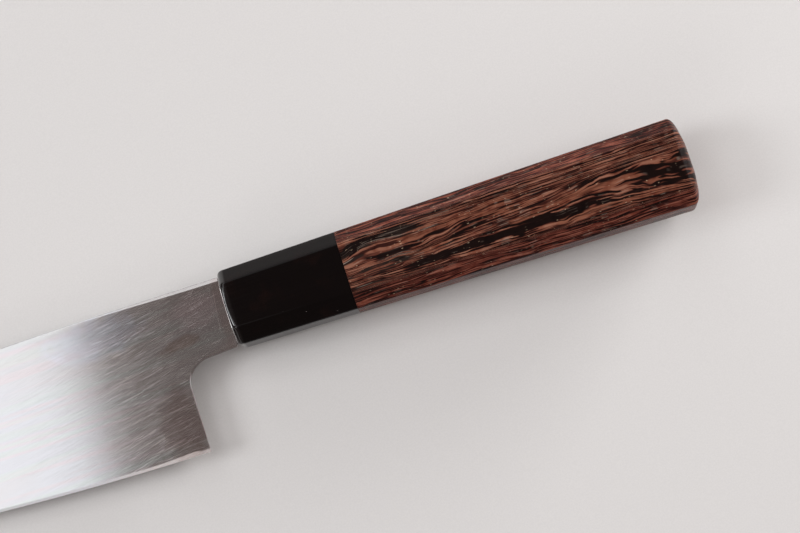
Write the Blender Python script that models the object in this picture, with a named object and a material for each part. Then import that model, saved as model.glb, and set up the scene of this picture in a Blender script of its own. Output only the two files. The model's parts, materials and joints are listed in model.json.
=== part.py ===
# Gyuto, a Japanese chef's knife, lying on its side on a flat surface. A forged blade carries a hidden
# tang, which is glued into a slotted dowel inside an octagonal wooden handle with a black ferrule.
#
# Every piece is modelled in the knife's own coordinates, in metres, which start at the middle of the
# ferrule's front face: +X runs towards the butt, +Y towards the spine and +Z out of the upper cheek.
# The empty "knife_lying" then tips them all until the blade's point and the front of the ferrule
# touch the surface, which is how a knife with more weight in front of its handle comes to rest.

import math

import bmesh
import bpy
from mathutils import Vector

# Blade, seen from the side
BLADE_LENGTH = 0.2100      # heel to point
BLADE_DEPTH = 0.0477       # spine to edge at the heel
HEEL_AHEAD = 0.0166        # heel in front of the ferrule
SPINE_HEIGHT = 0.01025     # spine above the handle's axis, at the neck
SPINE_DROP = 0.0160        # how far the spine has fallen at the point
SPINE_POWER = 3.0          # how late it falls
EDGE_SWEEP = 0.0223        # rise of the edge at the point that its long curve makes
BELLY_POWER = 11.0         # how late the belly makes the rest
CHOIL_RADIUS = 0.0070      # finger notch under the neck
NECK_DEPTH = 0.01075       # underside of the neck below the axis, at the ferrule
NECK_SLOPE = math.radians(3)  # that underside falls away towards the notch

# Blade, seen from the edge
NECK_THICKNESS = 0.0030
TIP_THICKNESS = 0.0007
TAPER_POWER = 1.2          # how late the spine thins towards the point
FACE_POWER = 1.25          # above 1, the cheeks are slightly convex
SHOULDER_THICKNESS = 0.00034       # just above the cutting bevel
HEEL_SHOULDER_THICKNESS = 0.00068  # the same at the heel, which is left stouter
HEEL_SHOULDER_LENGTH = 0.030       # where that stouter stretch has thinned away
CUTTING_ANGLE = math.radians(12)   # each side of the cutting edge
SPINE_EASE = 0.00120       # easing of the spine's corners at the neck, down the cheek
SPINE_EASE_TIP = 0.0002    # the same past the eased stretch
SPINE_EASE_LENGTH = 0.052
SPINE_EASE_WIDTH = 0.45    # its width across the spine, as a share of that
SPINE_FLATNESS = 0.6       # its form, from 0 for round to 1 for a straight chamfer
CHOIL_EASE = 0.0003        # chamfer round the heel, the choil and the neck's underside
NECK_END_EASE = 0.00025    # chamfer round the neck where it meets the ferrule

# Tang, which runs on from the neck inside the handle
TANG_LENGTH = 0.0880
TANG_DEPTH = 0.0090
TANG_END_DEPTH = 0.0050
TANG_THICKNESS = 0.0020
TANG_END_THICKNESS = 0.0016
TANG_POINT = 0.0040        # length of its tapered end
TANG_ROOT = 0.0040         # how far its root runs into the neck

# Handle, an octagon that grows towards the butt
HANDLE_LENGTH = 0.1403
FERRULE_LENGTH = 0.0360
FRONT_DEPTH = 0.02245      # spine side to edge side, at the ferrule's front
BUTT_DEPTH = 0.0265
FRONT_THICKNESS = 0.0181   # cheek to cheek
BUTT_THICKNESS = 0.0192
FACET = 0.00460            # leg of the four slanted facets
FACET_EASE = 0.0004        # rounding of the long edges
FERRULE_ROUNDING = 0.0016  # rounding of the ferrule's front edge
BUTT_DOME = 0.0036         # length of the domed end
DOME_POWER = 2.4           # above 2, the dome is flatter in the middle

# Inside the handle
DOWEL_DIAMETER = 0.0130
DOWEL_PLUG = 0.0100        # solid wood behind the dowel's slot
DOWEL_CHAMFER = 0.0008
SLOT_WIDTH = 0.0034        # saw slot in the dowel, which takes the tang
SLOT_BEYOND = 0.0020       # how far the slot runs on behind the tang
FRONT_WALL = 0.0060        # ferrule in front of the dowel
MOUTH_MARGIN = 0.0014      # opening in that wall, past the tang on every side
MOUTH_EASE = 0.0006

# Between pieces that touch or are glued
GAP = 0.0003

# Steps of the meshes
TIP_TO_HEEL_STEPS = 34
UPPER_ROWS = 6
LOWER_ROWS = 5
EASE_STEPS = 4
CHOIL_STEPS = 10
NECK_STEPS = 4
ROUNDING_STEPS = 5
DOME_STEPS = 8
ROUND_SIDES = 40

HEEL_X = -HEEL_AHEAD
TIP_X = HEEL_X - BLADE_LENGTH
NECK_END_X = -GAP
HEEL_Y = SPINE_HEIGHT - BLADE_DEPTH
TANG_END_X = NECK_END_X + TANG_LENGTH
DOWEL_FRONT_X = FRONT_WALL + GAP
SLOT_END_X = TANG_END_X + SLOT_BEYOND
DOWEL_END_X = SLOT_END_X + DOWEL_PLUG


def clear_scene():
    for obj in list(bpy.data.objects):
        bpy.data.objects.remove(obj, do_unlink=True)


def material(name, colour, metallic, roughness):
    made = bpy.data.materials.new(name)
    made.use_nodes = True
    shader = made.node_tree.nodes["Principled BSDF"]
    shader.inputs["Base Color"].default_value = (*colour, 1.0)
    shader.inputs["Metallic"].default_value = metallic
    shader.inputs["Roughness"].default_value = roughness
    made.diffuse_color = (*colour, 1.0)
    return made


def make_object(name, mesh_data, parent, finish=None):
    """Turns a bmesh into a closed object under the given parent; with no finish it is a hidden helper."""
    bmesh.ops.remove_doubles(mesh_data, verts=mesh_data.verts, dist=1e-6)
    bmesh.ops.recalc_face_normals(mesh_data, faces=mesh_data.faces)
    mesh = bpy.data.meshes.new(name)
    mesh_data.to_mesh(mesh)
    mesh_data.free()
    mesh.shade_smooth()
    mesh.set_sharp_from_angle(angle=math.radians(20))
    obj = bpy.data.objects.new(name, mesh)
    bpy.context.scene.collection.objects.link(obj)
    obj.parent = parent
    if finish:
        mesh.materials.append(finish)
    else:
        obj.hide_render = True
        obj.display_type = "WIRE"
    return obj


def boolean(obj, operation, other):
    modifier = obj.modifiers.new(other.name, "BOOLEAN")
    modifier.operation = operation
    modifier.solver = "EXACT"
    modifier.object = other


def spread(first, last, steps):
    return [first + (last - first) * step / steps for step in range(steps + 1)]


def smooth_step(value):
    value = min(max(value, 0.0), 1.0)
    return value * value * (3 - 2 * value)


def face_strip(mesh_data, first, second):
    """Four-sided faces between two rows with equally many vertices."""
    for a, b, c, d in zip(first, first[1:], second[1:], second):
        mesh_data.faces.new((a, b, c, d))


def loft(mesh_data, rings):
    """A closed solid through rings of points, each going the same way round."""
    rows = [[mesh_data.verts.new(point) for point in ring] for ring in rings]
    for first, second in zip(rows, rows[1:]):
        face_strip(mesh_data, first + first[:1], second + second[:1])
    mesh_data.faces.new(rows[0])
    mesh_data.faces.new(rows[-1])


# Outline and thickness of the blade

def spine_y(x):
    travelled = max(NECK_END_X - x, 0.0) / (NECK_END_X - TIP_X)
    return SPINE_HEIGHT - SPINE_DROP * travelled**SPINE_POWER


def edge_y(x):
    travelled = max(HEEL_X - x, 0.0) / BLADE_LENGTH
    rise = spine_y(TIP_X) - HEEL_Y
    return HEEL_Y + EDGE_SWEEP * travelled**2 + (rise - EDGE_SWEEP) * travelled**BELLY_POWER


def spine_half(x):
    travelled = max(NECK_END_X - x, 0.0) / (NECK_END_X - TIP_X)
    return (NECK_THICKNESS + (TIP_THICKNESS - NECK_THICKNESS) * travelled**TAPER_POWER) / 2


def shoulder_half(x):
    ahead = smooth_step((HEEL_X - x) / HEEL_SHOULDER_LENGTH)
    thickness = HEEL_SHOULDER_THICKNESS + (SHOULDER_THICKNESS - HEEL_SHOULDER_THICKNESS) * ahead
    return min(thickness / 2, spine_half(x) * 0.6)


def bevel_depth(x):
    return min(shoulder_half(x) / math.tan(CUTTING_ANGLE), 0.3 * (spine_y(x) - edge_y(x)))


def half_thickness(x, y):
    """Half the blade's thickness: a slightly convex wedge from spine to edge."""
    top, bottom = spine_y(x), edge_y(x) + bevel_depth(x)
    depth = min(max((top - y) / max(top - bottom, 1e-6), 0.0), 1.0)
    return spine_half(x) + (shoulder_half(x) - spine_half(x)) * depth**FACE_POWER


def spine_ease(x):
    gone = smooth_step((NECK_END_X - x) / SPINE_EASE_LENGTH)
    return SPINE_EASE + (SPINE_EASE_TIP - SPINE_EASE) * gone


def choil_and_neck():
    """Places along the choil and the neck's underside: (on the rim, just inside the chamfer, spine x)."""
    arc_end = math.pi / 2 + NECK_SLOPE
    tangent_x = HEEL_X + CHOIL_RADIUS + CHOIL_RADIUS * math.cos(arc_end)
    tangent_y = -NECK_DEPTH - (NECK_END_X - tangent_x) * math.tan(NECK_SLOPE)
    centre = Vector((HEEL_X + CHOIL_RADIUS, tangent_y - CHOIL_RADIUS * math.sin(arc_end)))
    places = []
    for step, angle in enumerate(spread(math.pi, arc_end, CHOIL_STEPS)):
        outward = Vector((math.cos(angle), math.sin(angle)))
        inside = centre + outward * (CHOIL_RADIUS + CHOIL_EASE)
        spine_x = HEEL_X - CHOIL_EASE + (tangent_x - HEEL_X) * step / CHOIL_STEPS
        places.append((centre + outward * CHOIL_RADIUS, inside, spine_x))
    into_steel = Vector((-math.sin(NECK_SLOPE), math.cos(NECK_SLOPE))) * CHOIL_EASE
    for x in spread(tangent_x, NECK_END_X - NECK_END_EASE, NECK_STEPS)[1:]:
        rim = Vector((x, -NECK_DEPTH - (NECK_END_X - x) * math.tan(NECK_SLOPE)))
        places.append((rim, rim + into_steel, x))
    return places


def upper_column(spine_x, bottom):
    """Points of one cheek from the spine's eased corner down to the given (x, y)."""
    top = spine_y(spine_x)
    ease = min(spine_ease(spine_x), 0.8 * spine_half(spine_x), 0.2 * (top - bottom[1]))
    width = ease * SPINE_EASE_WIDTH
    half = half_thickness(spine_x, top - ease)
    points = []
    for share in spread(0.0, 1.0, EASE_STEPS):
        angle = share * math.pi / 2
        up = SPINE_FLATNESS * (1 - share) + (1 - SPINE_FLATNESS) * math.cos(angle)
        out = SPINE_FLATNESS * share + (1 - SPINE_FLATNESS) * math.sin(angle)
        points.append((spine_x, top - ease + ease * up, half - width + width * out))
    for share in spread(0.0, 1.0, UPPER_ROWS)[1:]:
        x = spine_x + (bottom[0] - spine_x) * share
        y = top - ease + (bottom[1] - top + ease) * share
        points.append((x, y, half_thickness(x, y)))
    return points


def lower_column(x, top):
    """Points of one cheek from y = top down to the cutting edge."""
    shoulder = edge_y(x) + bevel_depth(x)
    rows = [(x, y, half_thickness(x, y)) for y in spread(top, shoulder, LOWER_ROWS)]
    return rows + [(x, edge_y(x), 0.0)]


def eased(half):
    return max(half - CHOIL_EASE, half / 2)


def drawn_in(points):
    """The neck's last points, moved on to its end face and in by the chamfer there."""
    top, bottom = points[0][1], points[-1][1]
    moved = []
    for _, y, z in points:
        share = (top - y) / (top - bottom)
        inner_y = y + NECK_END_EASE * (2 * share - 1)
        moved.append((NECK_END_X, inner_y, z - NECK_END_EASE * 0.7))
    return moved


def blade_side(mesh_data, side):
    """One cheek of the blade. Returns its top row, its rim from heel to neck, and its end column."""
    places = choil_and_neck()
    corner_x, corner_y = places[0][1]
    split = (spine_y(corner_x) - corner_y) / (spine_y(corner_x) - edge_y(corner_x))
    shares = spread(0.0, 1.0, TIP_TO_HEEL_STEPS)
    stations = [TIP_X + (corner_x - TIP_X) * share**1.5 for share in shares]
    upper, lower = [], []
    for x in stations:
        middle = spine_y(x) - split * (spine_y(x) - edge_y(x))
        upper.append(upper_column(x, (x, middle)))
        lower.append(lower_column(x, middle))
    # The first column shrinks to the blade's point
    point = (TIP_X, spine_y(TIP_X), 0.0)
    upper[0], lower[0] = [point] * len(upper[0]), [point] * len(lower[0])
    rim = [(HEEL_X, y, eased(z) if z else 0.0) for _, y, z in reversed(lower[-1])]
    for on_rim, inside, spine_x in places[1:]:
        upper.append(upper_column(spine_x, inside))
        rim.append((*on_rim, eased(half_thickness(*on_rim))))
    end = drawn_in(upper[-1] + rim[-1:])
    upper.append(end[:-1])
    rim.append(end[-1])

    def vertices(points):
        return [mesh_data.verts.new((x, y, side * z)) for x, y, z in points]

    upper = [vertices(column) for column in upper]
    lower = [vertices(column) for column in lower]
    rim = vertices(rim)
    inner_rim = lower[-1][::-1] + [column[-1] for column in upper[len(stations):]]
    for grid in (upper, lower):
        for first, second in zip(grid, grid[1:]):
            face_strip(mesh_data, first, second)
    face_strip(mesh_data, inner_rim, rim)
    return [column[0] for column in upper], rim, upper[-1] + rim[-1:]


def tang(parent):
    """The tang, a tapered bar with a pointed end. It starts inside the neck, which it is joined to."""
    mesh_data = bmesh.new()
    root_x = NECK_END_X - TANG_ROOT

    def ring(x, shrink=1.0):
        along = (x - root_x) / (TANG_END_X - root_x)
        y = (TANG_DEPTH + (TANG_END_DEPTH - TANG_DEPTH) * along) / 2 * shrink
        z = (TANG_THICKNESS + (TANG_END_THICKNESS - TANG_THICKNESS) * along) / 2
        return [(x, y, -z), (x, y, z), (x, -y, z), (x, -y, -z)]

    loft(mesh_data, [ring(root_x), ring(TANG_END_X - TANG_POINT), ring(TANG_END_X, 0.55)])
    return make_object("tang_root", mesh_data, parent)


def blade(parent):
    mesh_data = bmesh.new()
    top, rim, end = blade_side(mesh_data, 1)
    far_top, far_rim, far_end = blade_side(mesh_data, -1)
    face_strip(mesh_data, top, far_top)
    face_strip(mesh_data, rim, far_rim)
    mesh_data.faces.new(end + far_end[::-1])
    steel = material("blade_steel", (0.56, 0.55, 0.54), 1.0, 0.26)
    obj = make_object("blade", mesh_data, parent, steel)
    boolean(obj, "UNION", tang(parent))
    return obj


# Handle

def handle_depth(x):
    return FRONT_DEPTH + (BUTT_DEPTH - FRONT_DEPTH) * x / HANDLE_LENGTH


def handle_thickness(x):
    return FRONT_THICKNESS + (BUTT_THICKNESS - FRONT_THICKNESS) * x / HANDLE_LENGTH


def octagon(x, inset=0.0, scale=1.0):
    """One section of the handle at x, with eased corners, set in by a distance or scaled down."""
    y = (handle_depth(x) / 2 - inset) * scale
    z = (handle_thickness(x) / 2 - inset) * scale
    leg = (FACET - inset * (2 - math.sqrt(2))) * scale
    corners = [(y, z - leg), (y - leg, z), (leg - y, z), (-y, z - leg)]
    corners += [(-a, -b) for a, b in corners]
    corners = [Vector(corner) for corner in corners]
    ring = []
    for before, corner, after in zip(corners[-1:] + corners, corners, corners[1:] + corners[:1]):
        start = corner + (before - corner).normalized() * FACET_EASE * scale
        end = corner + (after - corner).normalized() * FACET_EASE * scale
        middle = (start + end + 2 * corner) / 4
        ring += [(x, *start), (x, *middle), (x, *end)]
    return ring


def cylinder(name, radius, start, end, parent, chamfer=0.0, finish=None):
    """A round bar along X, with both ends chamfered if asked."""
    mesh_data = bmesh.new()
    profile = [(start, radius - chamfer), (end, radius - chamfer)]
    if chamfer:
        profile[1:1] = [(start + chamfer, radius), (end - chamfer, radius)]
    turns = [2 * math.pi * side / ROUND_SIDES for side in range(ROUND_SIDES)]
    loft(mesh_data, [[(x, r * math.cos(a), r * math.sin(a)) for a in turns] for x, r in profile])
    return make_object(name, mesh_data, parent, finish)


def eased_rectangle(x, depth, width, ease):
    """A ring in the plane at x: depth along Y, width along Z, with its corners cut off."""
    y, z = depth / 2, width / 2
    half = [(y, ease - z), (y, z - ease), (y - ease, z), (ease - y, z)]
    return [(x, a, b) for a, b in half] + [(x, -a, -b) for a, b in half]


def box(name, start, end, depth, width, parent, ease):
    mesh_data = bmesh.new()
    loft(mesh_data, [eased_rectangle(x, depth, width, ease) for x in (start, end)])
    return make_object(name, mesh_data, parent)


def mouth_size(margin):
    return TANG_DEPTH + 2 * margin, TANG_THICKNESS + 2 * margin


def ferrule(parent):
    mesh_data = bmesh.new()
    rings = []
    for angle in spread(math.pi / 2, 0.0, ROUNDING_STEPS):
        x = FERRULE_ROUNDING * (1 - math.sin(angle))
        rings.append(octagon(x, inset=FERRULE_ROUNDING * (1 - math.cos(angle))))
    rings.append(octagon(FERRULE_LENGTH))
    loft(mesh_data, rings)
    horn = material("ferrule_black", (0.012, 0.010, 0.010), 0.0, 0.12)
    obj = make_object("ferrule", mesh_data, parent, horn)
    bore_radius = DOWEL_DIAMETER / 2 + GAP
    past_rear = FERRULE_LENGTH + GAP
    boolean(obj, "DIFFERENCE", cylinder("ferrule_bore", bore_radius, FRONT_WALL, past_rear, parent))
    depth, width = mouth_size(MOUTH_MARGIN)
    mouth = box("ferrule_mouth", -GAP, FRONT_WALL + GAP, depth, width, parent, MOUTH_EASE)
    boolean(obj, "DIFFERENCE", mouth)
    return obj


def handle_body(parent):
    mesh_data = bmesh.new()
    dome_start = HANDLE_LENGTH - BUTT_DOME
    rings = [octagon(FERRULE_LENGTH + GAP), octagon(dome_start)]
    for angle in spread(0.0, 0.96 * math.pi / 2, DOME_STEPS)[1:]:
        along = math.sin(angle)
        rings.append(octagon(dome_start + BUTT_DOME * along, scale=math.sqrt(1 - along**DOME_POWER)))
    loft(mesh_data, rings)
    wenge = material("wenge", (0.085, 0.042, 0.026), 0.0, 0.42)
    obj = make_object("handle_body", mesh_data, parent, wenge)
    bore_radius = DOWEL_DIAMETER / 2 + GAP
    bore = cylinder("handle_bore", bore_radius, FERRULE_LENGTH, DOWEL_END_X + GAP, parent)
    boolean(obj, "DIFFERENCE", bore)
    return obj


def dowel(parent):
    """The hardwood dowel that lines up ferrule and body; its saw slot takes the tang."""
    wood = material("dowel_hardwood", (0.52, 0.36, 0.20), 0.0, 0.6)
    radius = DOWEL_DIAMETER / 2
    obj = cylinder("dowel", radius, DOWEL_FRONT_X, DOWEL_END_X, parent, DOWEL_CHAMFER, wood)
    slot_start = DOWEL_FRONT_X - GAP
    slot = box("dowel_slot", slot_start, SLOT_END_X, 2 * DOWEL_DIAMETER, SLOT_WIDTH, parent, GAP)
    boolean(obj, "DIFFERENCE", slot)
    return obj


def tang_half_depth(x):
    root_x = NECK_END_X - TANG_ROOT
    along = (x - root_x) / (TANG_END_X - root_x)
    return (TANG_DEPTH + (TANG_END_DEPTH - TANG_DEPTH) * along) / 2


def tang_epoxy(parent):
    """The resin that fills the dowel's slot above, below and behind the tang: a two-pronged slab."""
    half_width = SLOT_WIDTH / 2 - GAP
    outer = math.sqrt((DOWEL_DIAMETER / 2) ** 2 - half_width**2) - DOWEL_CHAMFER
    front, back, floor = DOWEL_FRONT_X, SLOT_END_X - GAP, TANG_END_X + GAP
    upper = [(back, outer), (front, outer), (front, tang_half_depth(front) + GAP)]
    upper.append((floor, tang_half_depth(floor) + GAP))
    outline = upper + [(x, -y) for x, y in reversed(upper)]
    mesh_data = bmesh.new()
    loft(mesh_data, [[(x, y, z) for x, y in outline] for z in (-half_width, half_width)])
    resin = material("tang_epoxy", (0.16, 0.09, 0.05), 0.0, 0.35)
    return make_object("tang_epoxy", mesh_data, parent, resin)


def mouth_seal(parent):
    """The resin collar that closes the ferrule's mouth round the tang."""
    mesh_data = bmesh.new()
    outer_size, inner_size = mouth_size(MOUTH_MARGIN - GAP), mouth_size(GAP)
    rings = []
    for x, size in ((GAP, outer_size), (FRONT_WALL, outer_size), (FRONT_WALL, inner_size), (GAP, inner_size)):
        ring = eased_rectangle(x, *size, MOUTH_EASE)
        rings.append([mesh_data.verts.new(point) for point in ring])
    for first, second in zip(rings, rings[1:] + rings[:1]):
        face_strip(mesh_data, first + first[:1], second + second[:1])
    resin = material("mouth_seal", (0.10, 0.025, 0.018), 0.0, 0.3)
    return make_object("mouth_seal", mesh_data, parent, resin)


def lay_down(knife, pieces):
    """Tips the knife until its blade and its handle touch the ground, and centres it over the origin."""
    points = [[vertex.co for vertex in piece.data.vertices] for piece in pieces]

    def lowest(pitch):
        return [min(co.x * math.sin(pitch) + co.z * math.cos(pitch) for co in piece) for piece in points]

    level, steep = 0.0, math.radians(5)
    for _ in range(40):
        pitch = (level + steep) / 2
        in_front, *behind = lowest(pitch)
        if in_front < min(behind):
            steep = pitch
        else:
            level = pitch
    knife.rotation_euler = (0.0, -pitch, 0.0)
    turn = knife.rotation_euler.to_matrix()
    places = [turn @ vertex.co for piece in pieces for vertex in piece.data.vertices]
    low = [min(place[axis] for place in places) for axis in range(3)]
    high = [max(place[axis] for place in places) for axis in range(3)]
    knife.location = (-(low[0] + high[0]) / 2, -(low[1] + high[1]) / 2, -low[2])


def main():
    clear_scene()
    knife = bpy.data.objects.new("knife_lying", None)
    bpy.context.scene.collection.objects.link(knife)
    pieces = [blade(knife), ferrule(knife), handle_body(knife)]
    dowel(knife)
    tang_epoxy(knife)
    mouth_seal(knife)
    lay_down(knife, pieces)


main()
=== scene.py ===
import json
import math

import bpy
from mathutils import Euler, Matrix, Vector


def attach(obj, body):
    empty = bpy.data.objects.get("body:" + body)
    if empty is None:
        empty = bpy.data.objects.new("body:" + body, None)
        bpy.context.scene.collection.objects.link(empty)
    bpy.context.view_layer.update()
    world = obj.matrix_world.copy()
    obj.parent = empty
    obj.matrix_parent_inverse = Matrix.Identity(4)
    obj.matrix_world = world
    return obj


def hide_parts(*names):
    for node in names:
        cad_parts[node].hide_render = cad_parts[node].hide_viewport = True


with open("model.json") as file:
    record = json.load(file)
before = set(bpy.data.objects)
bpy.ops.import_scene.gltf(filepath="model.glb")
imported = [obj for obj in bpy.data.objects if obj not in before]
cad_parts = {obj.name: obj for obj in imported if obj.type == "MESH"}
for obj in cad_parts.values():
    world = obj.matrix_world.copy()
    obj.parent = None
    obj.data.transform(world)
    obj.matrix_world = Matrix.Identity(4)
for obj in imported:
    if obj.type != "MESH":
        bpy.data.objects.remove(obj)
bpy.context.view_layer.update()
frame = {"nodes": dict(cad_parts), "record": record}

# A gyuto knife lying on its cheek. Pieces are modelled along the knife's own axes, in metres:
# x from the blade's point to the butt, y from edge to spine, z out of the upper cheek,
# with x = 0 on the ferrule's front face. layDown then puts them where the CAD knife lies.


# helpers for meshes

sameSpot = 2e-6  # points nearer than this are one, in metres


def startClean():
    bpy.ops.object.select_all(action="DESELECT")


def activate(piece):
    startClean()
    piece.select_set(True)
    bpy.context.view_layer.objects.active = piece


def rename(piece, name):
    piece.name = name
    piece.data.name = name


def steps(first, last, count):
    return [first + (last - first) * step / count for step in range(count + 1)]


def smoothStep(value):
    value = min(max(value, 0.0), 1.0)
    return value * value * (3 - 2 * value)


def alongLine(points, x):
    # value of a broken line at x, eased between its points, flat past its ends
    if x <= points[0][0]:
        return points[0][1]
    for (x0, y0), (x1, y1) in zip(points, points[1:]):
        if x <= x1:
            return y0 + (y1 - y0) * smoothStep((x - x0) / (x1 - x0))
    return points[-1][1]


def gridSheet(points):
    # a grid with each vertex moved to its place in the rows of points
    rows, columns = len(points), len(points[0])
    startClean()
    bpy.ops.mesh.primitive_grid_add(x_subdivisions=columns - 1, y_subdivisions=rows - 1, size=2)
    made = bpy.context.object
    for vertex in made.data.vertices:
        column = round((vertex.co.x + 1) / 2 * (columns - 1))
        row = round((vertex.co.y + 1) / 2 * (rows - 1))
        vertex.co = points[row][column]
    return made


def setMode(name):
    bpy.ops.object.mode_set(mode=name)


def joinSheets(name, sheets):
    startClean()
    for sheet in sheets:
        sheet.select_set(True)
    bpy.context.view_layer.objects.active = sheets[0]
    if len(sheets) > 1:
        bpy.ops.object.join()
    made = bpy.context.object
    rename(made, name)
    mergePoints(made)
    return made


def mergePoints(piece):
    activate(piece)
    setMode("EDIT")
    bpy.ops.mesh.select_all(action="SELECT")
    bpy.ops.mesh.remove_doubles(threshold=sameSpot)
    bpy.ops.mesh.normals_make_consistent(inside=False)
    setMode("OBJECT")


def closeEnds(piece):
    activate(piece)
    setMode("EDIT")
    bpy.ops.mesh.select_mode(type="EDGE")
    bpy.ops.mesh.select_all(action="DESELECT")
    bpy.ops.mesh.select_non_manifold()
    bpy.ops.mesh.edge_face_add()
    bpy.ops.mesh.select_all(action="SELECT")
    bpy.ops.mesh.normals_make_consistent(inside=False)
    setMode("OBJECT")


def applyModifier(piece, kind, **settings):
    activate(piece)
    modifier = piece.modifiers.new(kind, kind)
    for name, value in settings.items():
        setattr(modifier, name, value)
    bpy.ops.object.modifier_apply(modifier=modifier.name)


def cutWith(piece, cutter, operation="DIFFERENCE"):
    applyModifier(piece, "BOOLEAN", operation=operation, solver="EXACT", object=cutter)
    bpy.data.objects.remove(cutter, do_unlink=True)


def smoothShade(piece, degrees):
    activate(piece)
    bpy.ops.object.shade_smooth_by_angle(angle=math.radians(degrees))


# where the CAD knife lies, from the record's two facet mounts

mounts = {mount["name"]: mount for mount in frame["record"]["mounts"]}
upperMount, lowerMount = mounts["handle_upper_facet"], mounts["handle_lower_facet"]
knifeUp = (Vector(upperMount["axis"]) - Vector(lowerMount["axis"])).normalized()
knifeSide = Vector((0.0, 1.0, 0.0))
knifeAlong = knifeSide.cross(knifeUp)
knifeTurn = Matrix((knifeAlong, knifeSide, knifeUp)).transposed()
knifePitch = math.atan2(knifeAlong.z, knifeAlong.x)


def storeValues(piece, name, domain, entries):
    piece.data.attributes.new(name, "FLOAT", domain)
    piece.data.attributes[name].data.foreach_set("value", entries)


def layDown(piece, lying):
    activate(piece)
    piece.matrix_world = lying @ piece.matrix_world
    bpy.ops.object.transform_apply(location=True, rotation=True, scale=True)


# helpers for materials

def plug(tree, socket, value):
    if isinstance(value, bpy.types.NodeSocket):
        tree.links.new(value, socket)
    else:
        socket.default_value = value


def fill(tree, node, **inputs):
    # an underscore in a name stands for a space in the socket's
    for name, value in inputs.items():
        plug(tree, node.inputs[name.replace("_", " ")], value)


def put(tree, kind, settings=None, **inputs):
    made = tree.nodes.new(kind)
    for name, value in (settings or {}).items():
        setattr(made, name, value)
    fill(tree, made, **inputs)
    return made


def calc(tree, operation, first, second=0.0, third=None):
    made = tree.nodes.new("ShaderNodeMath")
    made.operation = operation
    for socket, value in zip(made.inputs, (first, second, third)):
        if value is not None:
            plug(tree, socket, value)
    return made.outputs[0]


def times(tree, first, second):
    return calc(tree, "MULTIPLY", first, second)


def timesPlus(tree, value, factor, added):
    return calc(tree, "MULTIPLY_ADD", value, factor, added)


def centred(tree, value):
    # a noise about 0 in place of about 0.5
    return calc(tree, "SUBTRACT", value, 0.5)


def rescale(tree, value, low, high, newLow=0.0, newHigh=1.0, soft=True):
    made = tree.nodes.new("ShaderNodeMapRange")
    made.interpolation_type = "SMOOTHSTEP" if soft else "LINEAR"
    for socket, entry in zip(made.inputs, (value, low, high, newLow, newHigh)):
        plug(tree, socket, entry)
    return made.outputs[0]


def mixed(tree, share, first, second):
    return rescale(tree, share, 0.0, 1.0, first, second, soft=False)


def blendColours(tree, share, first, second, mode="MIX"):
    made = tree.nodes.new("ShaderNodeMix")
    made.data_type = "RGBA"
    made.blend_type = mode
    made.clamp_result = True
    plug(tree, made.inputs["Factor"], share)
    plug(tree, made.inputs[6], first if isinstance(first, bpy.types.NodeSocket) else (*first, 1.0))
    plug(tree, made.inputs[7], second if isinstance(second, bpy.types.NodeSocket) else (*second, 1.0))
    return made.outputs[2]


def rgb(red, green, blue):
    # a colour as a picture editor gives it, 0 to 255, made linear
    return tuple(((part / 255 + 0.055) / 1.055) ** 2.4 if part > 10 else part / 255 / 12.92
                 for part in (red, green, blue))


def newMaterial(name):
    made = bpy.data.materials.new(name)
    made.use_nodes = True
    return made, made.node_tree, made.node_tree.nodes["Principled BSDF"]


def millimetres(tree, turn=0.0):
    # place in millimetres along the knife's axes; turn swings the pattern over its cheeks
    place = put(tree, "ShaderNodeTexCoord").outputs["Object"]
    mapped = put(tree, "ShaderNodeMapping", {"vector_type": "POINT"}, Vector=place)
    mapped.inputs["Scale"].default_value = (1000.0, 1000.0, 1000.0)
    mapped.inputs["Rotation"].default_value = (0.0, knifePitch, math.radians(turn))
    return mapped.outputs[0]


def split(tree, place):
    return put(tree, "ShaderNodeSeparateXYZ", Vector=place).outputs


def noise(tree, place, scale, detail=2.0, grit=0.5):
    return put(tree, "ShaderNodeTexNoise", Vector=place, Scale=scale, Detail=detail,
               Roughness=grit).outputs[0]


def relief(tree, shader, strength, distance, height):
    bump = put(tree, "ShaderNodeBump", Strength=strength, Distance=distance, Height=height)
    fill(tree, shader, Normal=bump.outputs[0])


def newGroup(name, numbers, result):
    # a shader node group that takes a Place and named numbers and puts out one value
    group = bpy.data.node_groups.new(name, "ShaderNodeTree")
    group.interface.new_socket("Place", in_out="INPUT", socket_type="NodeSocketVector")
    for label in numbers:
        group.interface.new_socket(label, in_out="INPUT", socket_type="NodeSocketFloat")
    group.interface.new_socket(result, in_out="OUTPUT", socket_type="NodeSocketFloat")
    given, made = group.nodes.new("NodeGroupInput"), group.nodes.new("NodeGroupOutput")
    return group, given.outputs, made.inputs[result]


def makeStreaks():
    # noise drawn out along x: polishing lines on steel, fibres in wood
    group, given, result = newGroup("streaks", ("Along", "Across", "Detail", "Grit", "Seed"), "Value")
    parts = split(group, given["Place"])
    x = times(group, parts[0], given["Along"])
    y = times(group, parts[1], given["Across"])
    z = timesPlus(group, parts[2], given["Across"], given["Seed"])
    drawn = put(group, "ShaderNodeCombineXYZ", X=x, Y=y, Z=z).outputs[0]
    plug(group, result, noise(group, drawn, 1.0, given["Detail"], given["Grit"]))
    return group


def makeDust():
    # sparse light specks, with a mask of 1 on a speck
    group, given, result = newGroup("dust", ("Per mm", "Size"), "Specks")
    cells = put(group, "ShaderNodeTexVoronoi", {"feature": "F1"}, Vector=given["Place"],
                Scale=given["Per mm"], Randomness=1.0)
    chance = put(group, "ShaderNodeSeparateColor", Color=cells.outputs["Color"]).outputs[0]
    reach = times(group, calc(group, "POWER", chance, 3.0), given["Size"])
    plug(group, result, calc(group, "LESS_THAN", cells.outputs["Distance"], reach))
    return group


streakGroup = makeStreaks()
dustGroup = makeDust()


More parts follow.
